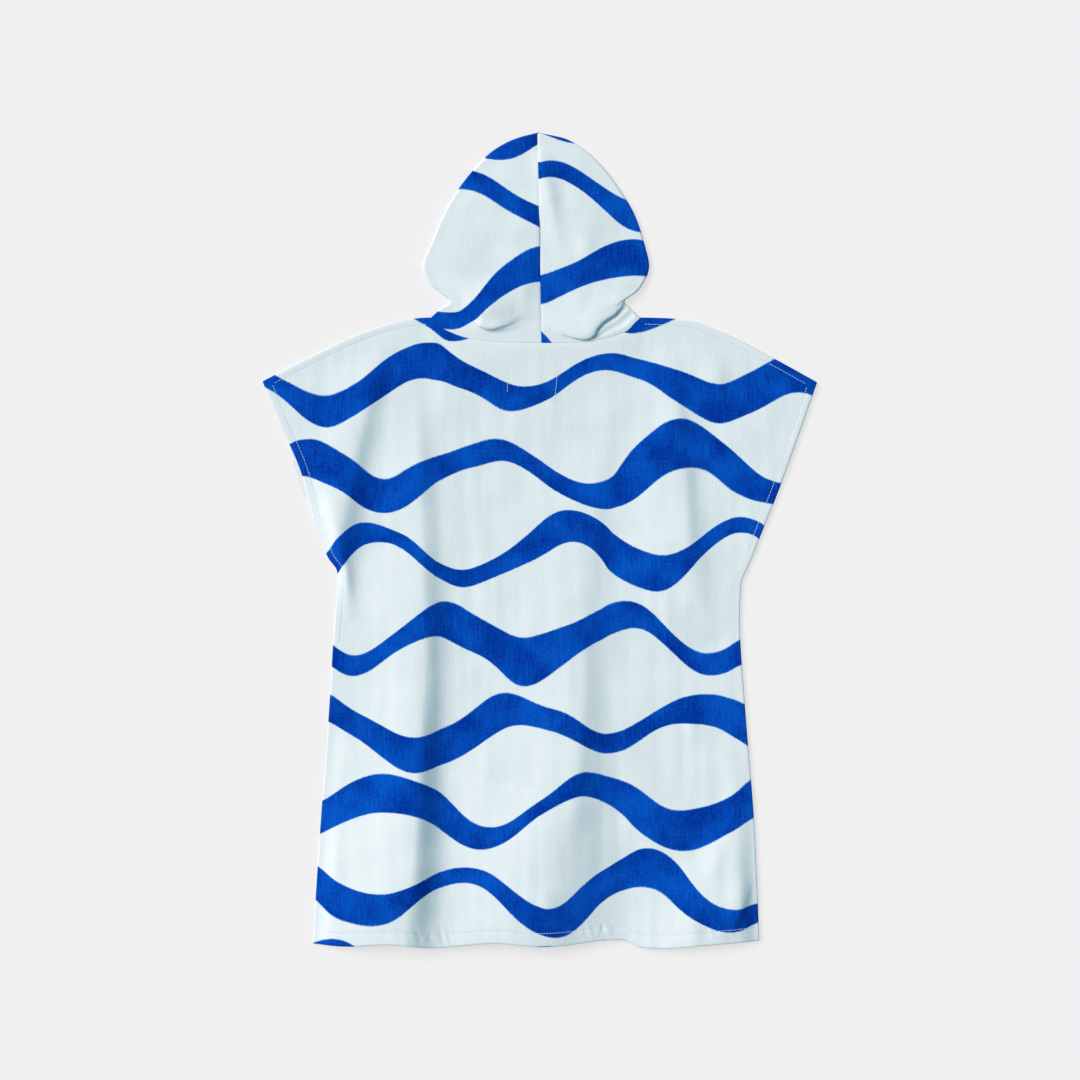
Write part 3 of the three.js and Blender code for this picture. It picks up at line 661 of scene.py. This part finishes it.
# Half of the hood. Each row's place along the sections comes from the fold over the base, and
# from even steps above it; across a row, the top runs out to the edge, half a circle turns it
# under, and the rest lies flat below it.
def hoodGrid(side):
    turns = np.linspace(0, 1, hood["baseRows"] + 1)
    share = np.linspace(0, 1, hood["topColumns"] + 1)
    angle = np.linspace(0, np.pi, hood["turnColumns"] + 1)[1:]
    underShare = np.linspace(0, 1, hood["underColumns"] + 1)[1:]
    allShares = np.concatenate([share, np.ones(len(angle) + len(underShare))])
    under = np.concatenate([np.zeros(len(share)), angle / np.pi, np.ones(len(underShare))])

    # Base rows: distance from the neck seam, then the place in the sections that it is at
    strip, over, lift, hold = (
        readTable(baseFold[side], "share", name, allShares)
        for name in ("strip", "over", "lift", "hold")
    )
    lift, hold = lift * (1 - under), hold * (1 - ease(under))
    length = mix(hood["baseLength"]["middle"], hood["baseLength"]["edge"], allShares)
    knots = np.array([row["turn"] for row in foldProfile])
    parts = {
        name: np.array([row[name] for row in foldProfile])[:, None]
        for name in ("strip", "over", "rest", "up")
    }
    folded = parts["strip"] * strip + parts["over"] * over + parts["rest"] * (length - strip)
    distance = mix(knots[:, None] * length, folded, hold)
    distance = throughKnots(knots, distance, turns)
    raised = throughKnots(knots, np.repeat(parts["up"], len(allShares), axis=1), turns) * lift
    basePlace = distance / length * hood["baseEnd"]
    crown = np.linspace(hood["baseEnd"], len(hoodSections) - 1, hood["crownRows"] + 1)[1:, None]
    place = np.concatenate([basePlace, np.repeat(crown, len(allShares), axis=1)])
    raised = np.concatenate([raised, np.zeros((len(crown), len(allShares)))])
    place = np.clip(place, 0, len(hoodSections) - 1)

    # Sections at those places
    edgeY, seamY = section("edgeY", place), section("seamY", place)
    reach = section("left" if side < 0 else "right", place)
    face, faceY = section("face", place), section("faceY", place)
    gap = side * hood["seamGap"]
    seam = np.stack([seamX(seamY) + gap, seamY], axis=-1)
    closing = (seamX(edgeY) + gap) * (1 - np.minimum(1, reach / hood["crownReach"]))
    edge = np.stack([side * reach + closing, edgeY], axis=-1)
    faceEdge = np.stack([seamX(faceY) + side * face + gap, faceY], axis=-1)
    inward = unit(seam - edge)
    scoop = (1 - ease(place / hood["scoopEnd"]))[..., None]
    below = unit(mix(inward, unit(faceEdge - edge), scoop))
    bend = 1 - ease(place / hood["baseEnd"])

    # Top layer
    end = neckEnd[side]
    atEdge = mix(seamLevel["shoulder"], hood["edgeHeight"], ease(place / hood["scoopEnd"]))
    edgeHeight = atEdge + raised
    radius = edgeHeight / 2
    top = len(share)
    topEnd = (edge + inward * radius[..., None])[:, :top]
    onTop = mix(seam[:, :top], topEnd, share[:, None])
    neckX = mix(hoodSeam["x"] + gap, end["x"] - side * hood["endInset"], share)
    straightY = mix(neckY(hoodSeam["x"]), end["y"], share)
    x = onTop[..., 0]
    y = onTop[..., 1] + bend[:, :top] * (neckY(neckX) + hood["neckGap"] - straightY)
    toEdge = np.linalg.norm(onTop - topEnd, axis=-1)
    above = np.maximum(y - neckY(x), 0)
    lying = mix(atEdge[:, :top], hood["height"], ease(toEdge / hood["edgeReach"]))
    z = mix(seamHeight(x), lying, ease(above / hood["seamReach"])) + raised[:, :top]
    settle, middleSeam = hood["settle"], hood["middleSeam"]
    settled = ease(toEdge / settle["edge"]) * ease((above - settle["from"]) / settle["over"])
    z = z + foldRise(hoodFolds, x, y) * settled
    z = z + lieUneven(x, y, hood["slack"], hood["slackSeed"][side]) * settled
    sunk = middleSeam["sink"] * np.exp(-(((x - seamX(y)) / middleSeam["width"]) ** 2))
    z = z - sunk * ease((above - middleSeam["from"]) / middleSeam["over"])
    # The pleats run along the fold's edge
    alongStrip = (distance / np.maximum(strip, pleats["narrowest"]))[:, :top]
    alongStrip = np.concatenate([alongStrip, np.full((len(crown), top), pleats["end"])])
    wave = np.sin(2 * np.pi * (alongStrip * pleats["perStrip"] - pleats["start"]))
    wave = wave * ease((pleats["end"] - alongStrip) / pleats["endFade"])
    nearEdge = ease((share - pleats["fromShare"]) / pleats["shareFade"]) * (side > 0)
    z = z + pleats["height"] * wave * nearEdge * ease(above / pleats["seamFade"])
    z[:2] -= np.array(hood["seamSink"])[:, None]

    # Turned side and the layer below
    turn = slice(top, top + len(angle))
    heading = unit(mix(inward[:, turn], below[:, turn], (angle / np.pi)[None, :, None]))
    bow = (radius[:, turn] * (1 - np.sin(angle)))[..., None]
    turned = edge[:, turn] + heading * bow
    turnZ = radius[:, turn] * (1 + np.cos(angle))
    flat = slice(top + len(angle), None)
    # Near the neck seam the path to the face opening follows the neckline. Above it, the path
    # leaves the edge straight across, then bends down.
    underEnd = edge[:, flat] + below[:, flat] * radius[:, flat, None]
    opening = faceEdge[:, flat]
    s = underShare[:, None]
    reachBelow = np.linalg.norm(opening - underEnd, axis=-1, keepdims=True)
    control = underEnd + below[:, flat] * reachBelow * hood["underBend"]
    bent = mix(mix(underEnd, control, s), mix(control, opening, s), s)
    quarter = underShare * np.pi / 2
    middle = seamX(frontNeckY)
    curve = np.stack([
        middle + (end["x"] - middle) * np.cos(quarter),
        end["y"] + (frontNeckY - end["y"]) * np.sin(quarter),
    ], axis=-1)
    straight = np.stack([
        mix(end["x"], middle, underShare), mix(end["y"], frontNeckY, underShare)
    ], axis=-1)
    lower = mix(bent, mix(underEnd, opening, s), scoop[:, flat])
    lower = lower + scoop[:, flat] * (curve - straight)
    planX = np.concatenate([x, turned[..., 0], lower[..., 0]], axis=1)
    planY = np.concatenate([y, turned[..., 1], lower[..., 1]], axis=1)
    height = np.concatenate([z, turnZ, np.zeros(lower.shape[:2])], axis=1)
    return np.stack([planX, planY, height], axis=-1)


# A point's place on the flat cloth. Across, it follows the plan out to the edge and goes on
# past the turn. Along, it follows the plan above the fold at the base, and below the fold's
# outer edge it goes back by the length of the cloth, which is hidden there.
def hoodCloth(grid, side):
    edge = hood["topColumns"]
    under = edge + hood["turnColumns"] + 1
    x = np.abs(grid[..., 0])
    steps = np.linalg.norm(np.diff(grid[:, edge:under], axis=1), axis=2)
    roundEdge = x[:, edge:edge + 1] + steps.cumsum(axis=1)
    across = x.copy()
    across[:, edge + 1:under] = roundEdge
    across[:, under:] = roundEdge[:, -1:] + x[:, under - 1:under] - x[:, under:]
    along = grid[..., 1].copy()
    lip = int(hood["lipTurn"] * hood["baseRows"])
    steps = np.linalg.norm(np.diff(grid[:lip + 1], axis=0), axis=2)
    along[:lip] = along[lip] - steps[::-1].cumsum(axis=0)[::-1]
    offset = hood["clothOffset"][side]
    return np.stack([side * across + offset[0], along + offset[1]], axis=-1)


def makeHoodHalf(side):
    grid = hoodGrid(side)
    columns = grid.shape[1]
    fromFace = np.arange(columns)[::-1] * hood["underStep"]
    turnedIn = ease((hood["turnedDepth"] - fromFace) / hood["turnedFade"])
    thickness = mix(hood["thickness"], hood["turned"], turnedIn)
    thickness = np.repeat(thickness[None], len(grid), axis=0)
    normals = gridNormals(grid) * side
    normals[0, :, 1] = 0
    normals[:, 0, 0] = 0
    normals[-1, :, 0] = 0
    normals[:, columns - hood["underColumns"]:] = (0, 0, -1)
    name = "hood_half_left" if side < 0 else "hood_half_right"
    return makeWall(name, grid, thickness, hoodCloth(grid, side), side < 0, unit(normals))


# Stitching: each stitch is a short thread with rounded ends, laid along a line on the cloth
thread = {
    "length": 3.0,
    "pitch": 3.7,
    "radius": 0.34,
    "sunk": 0.36,
    "sides": 6,
    "rings": [[-0.5, 0.25], [-0.4, 0.85], [0.0, 1.0], [0.4, 0.85], [0.5, 0.25]],
    "seed": 8,
    "uneven": 0.25,
    "tilt": 0.08,
    "lookAhead": 1.0,
    "colour": "#C9DDF2",
    "roughness": 0.55,
    "twistCells": 2600.0,  # to the metre, so a twist of 0.4 mm
    "twistTone": 0.9,
    "bump": {"Strength": 0.3, "Distance": 0.0002},
}


# Points of a line that runs over a grid, by its rows and columns, which needn't be whole, each
# mixed from the four points of the grid around it
def overGrid(grid, rows, columns):
    r = np.clip(np.floor(rows).astype(int), 0, grid.shape[0] - 2)
    c = np.clip(np.floor(columns).astype(int), 0, grid.shape[1] - 2)
    s, t = (rows - r)[:, None], (columns - c)[:, None]
    low = mix(grid[r, c], grid[r, c + 1], t)
    high = mix(grid[r + 1, c], grid[r + 1, c + 1], t)
    return mix(low, high, s)


# Stitches along lines: each line is made even by its length, and every stitch is a tube of a
# few rings turned to the line's direction and standing on the cloth's normal. A ring has its
# place in parts of the length and its width in parts of the radius.
def makeStitching(name, lines, material):
    rng = np.random.default_rng(thread["seed"])
    rings = np.array(thread["rings"])
    sides = thread["sides"]
    around = np.linspace(0, 2 * np.pi, sides, endpoint=False)
    shape = np.stack([
        np.repeat(rings[:, 0] * thread["length"], sides),
        np.outer(rings[:, 1], np.cos(around)).ravel() * thread["radius"],
        np.outer(rings[:, 1], np.sin(around)).ravel() * thread["radius"],
    ], axis=-1)
    index = np.arange(len(shape)).reshape(len(rings), sides)
    nextOne = np.roll(index, -1, axis=1)
    tube = np.stack([index[:-1], nextOne[:-1], nextOne[1:], index[1:]], axis=-1).reshape(-1, 4)
    points, faces, offset = [], [], 0
    for line, normal in lines:
        steps = np.linalg.norm(np.diff(line, axis=0), axis=1)
        length = np.concatenate([[0], steps.cumsum()])
        at = np.arange(thread["pitch"], length[-1] - thread["pitch"] / 2, thread["pitch"])
        at = at + rng.uniform(-thread["uneven"], thread["uneven"], len(at))
        centre, ahead, up = (
            np.stack([np.interp(place, length, values[:, k]) for k in range(3)], axis=-1)
            for place, values in ((at, line), (at + thread["lookAhead"], line), (at, normal))
        )
        tangent = ahead - centre
        sideways = unit(np.cross(up, tangent))
        tangent = unit(tangent + sideways * rng.normal(0, thread["tilt"], (len(at), 1)))
        up = unit(np.cross(tangent, sideways))
        centre = centre + up * (thread["radius"] - thread["sunk"])
        frames = np.stack([tangent, sideways, up], axis=1)
        placed = centre[:, None] + np.einsum("pk,nkj->npj", shape, frames)
        start = offset + np.arange(len(at))[:, None, None] * len(shape)
        points.append(placed.reshape(-1, 3))
        faces += (tube[None] + start).reshape(-1, 4).tolist()
        ends = np.stack([index[0][::-1], index[-1]])
        faces += (ends[None] + start).reshape(-1, sides).tolist()
        offset += len(at) * len(shape)
    piece = makePiece(name, np.concatenate(points), faces)
    piece.data.materials.append(material)
    return piece


# Where a distance falls between a panel's steps from its edge
def stepAt(steps, distance):
    return float(np.interp(distance, steps, np.arange(len(steps))))


# Lines of stitches on a panel: along the hem, beside the cuffs, along the shoulders, and the
# short rows. Each is a list of grid rows and columns, which keep its distance from an edge.
stitchLines = {"hemPoints": 1400, "sidePoints": 900, "headPoints": 500, "shortPoints": 60,
               "cuffGap": 9, "neckGap": 3}


def panelStitching(name, grid, panel, flip, material):
    normals = gridNormals(grid) * (-1 if flip else 1)
    rows, columns = grid.shape[0] - 1, grid.shape[1] - 1
    everyRow, everyColumn = np.arange(rows + 1), np.arange(columns + 1)
    side = stepAt(panel["sideSteps"], panel["sideStitch"])
    hem = stepAt(panel["hemSteps"], panel["hemStitch"])
    head = stepAt(panel["headSteps"], panel["headStitch"])
    across = np.linspace(side / 2, columns - side / 2, stitchLines["hemPoints"])
    places = [(np.full_like(across, hem), across)]
    for hand, column in (("left", side), ("right", columns - side)):
        lowest = np.interp(panel["sideStitchFrom"][hand], grid[:, int(column), 1], everyRow)
        along = np.linspace(lowest, rows - head, stitchLines["sidePoints"])
        places.append((along, np.full_like(along, column)))
    topX = grid[-1, :, 0]
    shoulders = (
        (topX[0] + stitchLines["cuffGap"], neckEnd[-1]["x"] - stitchLines["neckGap"]),
        (neckEnd[1]["x"] + stitchLines["neckGap"], topX[-1] - stitchLines["cuffGap"]),
    )
    for low, high in shoulders:
        xs = np.linspace(low, high, stitchLines["headPoints"])
        places.append((np.full_like(xs, rows - head), np.interp(xs, topX, everyColumn)))
    for short in panel["shortRows"]:
        ys = np.linspace(short["high"], short["low"], stitchLines["shortPoints"])
        middleY = (short["high"] + short["low"]) / 2
        level = int(np.argmin(np.abs(grid[:, columns // 2, 1] - middleY)))
        xs = short["x"] - short["lean"] * (short["high"] - ys)
        column = np.interp(xs, grid[level, :, 0], everyColumn)
        climb = np.linspace(0, rows, stitchLines["sidePoints"])
        ladder = overGrid(grid, climb, np.full_like(climb, column[len(column) // 2]))
        places.append((np.interp(ys, ladder[:, 1], climb), column))
    lines = [(overGrid(grid, *place), overGrid(normals, *place)) for place in places]
    return makeStitching(name, lines, material)


# sRGB hex to the linear values that the shaders work in
def colour(hexCode):
    value = np.array([int(hexCode[k:k + 2], 16) for k in (1, 3, 5)]) / 255
    linear = np.where(value <= 0.04045, value / 12.92, ((value + 0.055) / 1.055) ** 2.4)
    return (*linear.tolist(), 1.0)


# Adds a node, with settings by name, and inputs by name or number: a value or another node's
# output. It gives back its own output of the name or number asked for.
def addNode(tree, kind, inputs, give=0, **settings):
    node = tree.nodes.new("ShaderNode" + kind)
    for name, value in settings.items():
        setattr(node, name, value)
    for key, value in inputs.items():
        if isinstance(value, bpy.types.NodeSocket):
            tree.links.new(value, node.inputs[key])
        else:
            node.inputs[key].default_value = value
    return node.outputs[give] if len(node.outputs) else None


def emptyMaterial(name):
    material = bpy.data.materials.new(name)
    material.use_nodes = True
    material.node_tree.nodes.clear()
    return material, material.node_tree


printDesign = {
    "pitch": 0.098,
    "wave": 0.225,
    "swing": 0.0255,
    "turnPerRow": 2.3,
    "halfWidth": 0.0172,
    "swell": 0.0064,
    "swellPerWave": 0.57,
    "swellPerRow": 2.1,
    "edge": 0.001,
    "ground": "#E1EEF2",
    "groundShade": "#D9E8EE",
    "bleed": "#78A9E2",
    "blue": "#003298",
    "blueWorn": "#0456C6",
    "reverse": "#E3ECEE",
}


# How much of the blue dye a point has: rows of waves, each a sine along its row that starts at
# its own place, drawn as a band that swells and thins. A band never leaves its own row. Each
# step below has its name, its operation and what it works on.
def printMask(tree, u, v):
    design = printDesign
    made = {"u": u, "v": v}
    for name, operation, *values in (
        ("rows", "DIVIDE", "v", design["pitch"]),
        ("row", "ROUND", "rows"),
        ("start", "MULTIPLY", "row", design["turnPerRow"]),
        ("turn", "MULTIPLY", "u", 2 * np.pi / design["wave"]),
        ("along", "ADD", "turn", "start"),
        ("swing", "SINE", "along"),
        ("centre", "MULTIPLY_ADD", "swing", design["swing"] / design["pitch"], "row"),
        ("rowsOff", "SUBTRACT", "rows", "centre"),
        ("off", "MULTIPLY", "rowsOff", design["pitch"]),
        ("distance", "ABSOLUTE", "off"),
        ("later", "MULTIPLY", "start", design["swellPerRow"]),
        ("slower", "MULTIPLY_ADD", "turn", design["swellPerWave"], "later"),
        ("swell", "SINE", "slower"),
        ("half", "MULTIPLY_ADD", "swell", design["swell"], design["halfWidth"]),
        ("inside", "SUBTRACT", "half", "distance"),
    ):
        inputs = {k: made.get(value, value) for k, value in enumerate(values)}
        made[name] = addNode(tree, "Math", inputs, operation=operation)
    inputs = {0: made["inside"], 1: -design["edge"], 2: design["edge"]}
    return addNode(tree, "MapRange", inputs, interpolation_type="SMOOTHSTEP")


# Noise in cells to the metre: the print wanders in waves of 170 mm and its edges fray by 2 mm,
# ribs are 2.5 mm apart and 22 mm long, flecks 1.1 mm, tufts 2.8 mm and patches 45 mm wide
towel = {
    "wander": {"cells": 6.0, "detail": 1.0, "by": 0.075},
    "fray": {"cells": 520.0, "detail": 2.0, "by": 0.0013},
    "ribCells": (400.0, 45.0, 1.0),
    "ribs": {"cells": 1.0, "detail": 2.0},
    "flecks": {"cells": 900.0, "detail": 2.0},
    "patches": {"cells": 22.0, "detail": 2.0},
    "tufts": {"cells": 360.0, "detail": 3.0},
    "ribDye": 0.28,
    "tuftDye": 0.4,
    "patchDye": 0.2,
    "patchRange": (0.34, 0.66),
    "wornRange": (0.31, 0.57),
    "ribRange": (0.3, 0.7, 0.982, 1.01),
    "fleckHeight": 0.8,
    "bump": {"Strength": 0.22, "Distance": 0.0008},
    "surface": {"Roughness": 0.95, "Sheen Weight": 0.015, "Sheen Roughness": 0.5,
                "Specular IOR Level": 0.03},
}


# Sheared cotton towelling, printed on its smooth face: the pile scatters light softly, shows
# faint upright ribs and flecks, and blurs the edges of the dye. Its reverse is plain loops.
def towellingMaterial():
    material, tree = emptyMaterial("printed_cotton_towelling")
    uv = addNode(tree, "UVMap", {}, uv_map="cloth")
    moved = uv
    for name in ("wander", "fray"):
        noise = addNode(tree, "TexNoise", {
            "Vector": uv, "Scale": towel[name]["cells"], "Detail": towel[name]["detail"],
        }, "Color")
        shift = addNode(tree, "VectorMath", {0: noise, 1: (0.5, 0.5, 0.5)}, operation="SUBTRACT")
        shift = addNode(tree, "VectorMath", {0: shift, "Scale": towel[name]["by"]}, operation="SCALE")
        moved = addNode(tree, "VectorMath", {0: moved, 1: shift}, operation="ADD")
    u, v = (addNode(tree, "SeparateXYZ", {0: moved}, axis) for axis in "XY")
    mask = printMask(tree, u, v)

    stretched = addNode(tree, "Mapping", {"Vector": uv, "Scale": towel["ribCells"]})
    ribs, flecks, patches, tufts = (
        addNode(tree, "TexNoise", {
            "Vector": place, "Scale": towel[name]["cells"], "Detail": towel[name]["detail"],
        })
        for name, place in (("ribs", stretched), ("flecks", uv), ("patches", uv), ("tufts", uv))
    )
    # The dye took unevenly, by ribs, tufts and patches
    low, high = towel["patchRange"]
    blotches = addNode(tree, "MapRange", {0: patches, 1: low, 2: high})
    taken = addNode(tree, "Math", {0: tufts, 1: towel["tuftDye"]}, operation="MULTIPLY")
    for part, dye in ((ribs, towel["ribDye"]), (blotches, towel["patchDye"])):
        taken = addNode(tree, "Math", {0: part, 1: dye, 2: taken}, operation="MULTIPLY_ADD")
    low, high = towel["wornRange"]
    worn = addNode(tree, "MapRange", {0: taken, 1: low, 2: high})
    # Where the dye bled at the edge of a band it's a clear light blue
    outer = addNode(tree, "MapRange", {0: mask, 1: 0.0, 2: 0.5})
    core = addNode(tree, "MapRange", {0: mask, 1: 0.5, 2: 1.0})
    side = addNode(tree, "Attribute", {}, "Fac", attribute_name="printed")
    faced = addNode(tree, "Math", {0: side, 1: 0.5}, operation="GREATER_THAN")
    hues = {name: colour(printDesign[name])
            for name in ("ground", "groundShade", "bleed", "blue", "blueWorn", "reverse")}
    for name, amount, first, second in (
        ("ground", patches, "ground", "groundShade"),
        ("blue", worn, "blue", "blueWorn"),
        ("bled", outer, "ground", "bleed"),
        ("dyed", core, "bled", "blue"),
        ("face", faced, "reverse", "dyed"),
    ):
        inputs = {0: amount, 6: hues[first], 7: hues[second]}
        hues[name] = addNode(tree, "Mix", inputs, 2, data_type="RGBA")
    limits = {k + 1: value for k, value in enumerate(towel["ribRange"])}
    shade = addNode(tree, "MapRange", {0: ribs, **limits})
    inputs = {0: 1.0, 6: hues["face"], 7: shade}
    face = addNode(tree, "Mix", inputs, 2, data_type="RGBA", blend_type="MULTIPLY")

    inputs = {0: flecks, 1: towel["fleckHeight"], 2: ribs}
    height = addNode(tree, "Math", inputs, operation="MULTIPLY_ADD")
    bump = addNode(tree, "Bump", {"Height": height, **towel["bump"]})
    inputs = {"Base Color": face, "Normal": bump, **towel["surface"]}
    addNode(tree, "OutputMaterial", {"Surface": addNode(tree, "BsdfPrincipled", inputs)})
    return material


# White polyester sewing thread, slightly shiny, with a fine twist
def threadMaterial():
    material, tree = emptyMaterial("white_sewing_thread")
    place = addNode(tree, "TexCoord", {}, "Object")
    twist = addNode(tree, "TexNoise", {"Vector": place, "Scale": thread["twistCells"]})
    tone = addNode(tree, "MapRange", {0: twist, 3: thread["twistTone"], 4: 1.0})
    inputs = {0: 1.0, 6: colour(thread["colour"]), 7: tone}
    tint = addNode(tree, "Mix", inputs, 2, data_type="RGBA", blend_type="MULTIPLY")
    bump = addNode(tree, "Bump", {"Height": twist, **thread["bump"]})
    inputs = {"Base Color": tint, "Normal": bump, "Roughness": thread["roughness"]}
    addNode(tree, "OutputMaterial", {"Surface": addNode(tree, "BsdfPrincipled", inputs)})
    return material


# Studio: a wide soft light low on the upper left, slightly warm, and an even fill, slightly
# cool, so that the shade in the folds turns to blue-green while the lit cloth stays neutral
studio = {
    "sun": 3.77,
    "sunColour": "#FFE8DE",
    "sunAngle": 0.6,
    "sunFrom": (-0.64, 0.37, 0.67),
    "fill": 0.361,
    "fillColour": "#ABECFF",
    "floorColour": "#7B888E",
    "floorGlow": 0.68,
    "floorGlowColour": "#FFF7F5",
    "floorReach": 80.0,
    "floorZ": -0.0004,
}


# Matt white studio sweep under the garment, which glows a little and so softens the shadows;
# its colours make up for those of the two lights, so it looks a plain pale grey
def floorMaterial():
    material, tree = emptyMaterial("matt_white_floor")
    shader = addNode(tree, "BsdfPrincipled", {
        "Base Color": colour(studio["floorColour"]), "Roughness": 0.9, "Specular IOR Level": 0.1,
        "Emission Color": colour(studio["floorGlowColour"]), "Emission Strength": studio["floorGlow"],
    })
    addNode(tree, "OutputMaterial", {"Surface": shader})
    return material


def makeStudio():
    scene = bpy.context.scene
    scene.view_settings.view_transform = "Standard"
    x, y, z = studio["sunFrom"]
    data = bpy.data.lights.new("key_light", "SUN")
    data.energy = studio["sun"]
    data.color = colour(studio["sunColour"])[:3]
    data.angle = studio["sunAngle"]
    light = bpy.data.objects.new("key_light", data)
    light.rotation_euler = (np.arctan2(np.hypot(x, y), z), 0.0, np.arctan2(x, -y))
    scene.collection.objects.link(light)
    world = bpy.data.worlds.new("studio")
    world.use_nodes = True
    background = world.node_tree.nodes["Background"]
    background.inputs[0].default_value = colour(studio["fillColour"])
    background.inputs[1].default_value = studio["fill"]
    scene.world = world
    mesh = bpy.data.meshes.new("floor")
    reach = studio["floorReach"]
    corners = [(-reach, -reach), (reach, -reach), (reach, reach), (-reach, reach)]
    mesh.from_pydata([(x, y, studio["floorZ"]) for x, y in corners], [], [(0, 1, 2, 3)])
    mesh.materials.append(floorMaterial())
    floor = bpy.data.objects.new("floor", mesh)
    scene.collection.objects.link(floor)


towelling = towellingMaterial()
sewingThread = threadMaterial()

backPiece, backSurface = makeBack()
print("back panel made", len(backPiece.data.polygons))
frontPiece, frontSurface = makeFront()
print("front panel made", len(frontPiece.data.polygons))
leftPiece, rightPiece = makeHoodHalf(-1), makeHoodHalf(1)
print("hood made", len(leftPiece.data.polygons), len(rightPiece.data.polygons))
backThread = panelStitching("back_stitching", backSurface, back, False, sewingThread)
frontThread = panelStitching("front_stitching", frontSurface, front, True, sewingThread)
print("stitching made", len(backThread.data.polygons), len(frontThread.data.polygons))

for piece, node in (
    (backPiece, "body_back"),
    (frontPiece, "body_front"),
    (leftPiece, "hood_left"),
    (rightPiece, "hood_right"),
):
    piece.data.materials.append(towelling)
    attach(piece, "root")
    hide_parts(node)
for piece in (backThread, frontThread):
    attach(piece, "root")

makeStudio()
print("studio made")

bpy.context.view_layer.update()
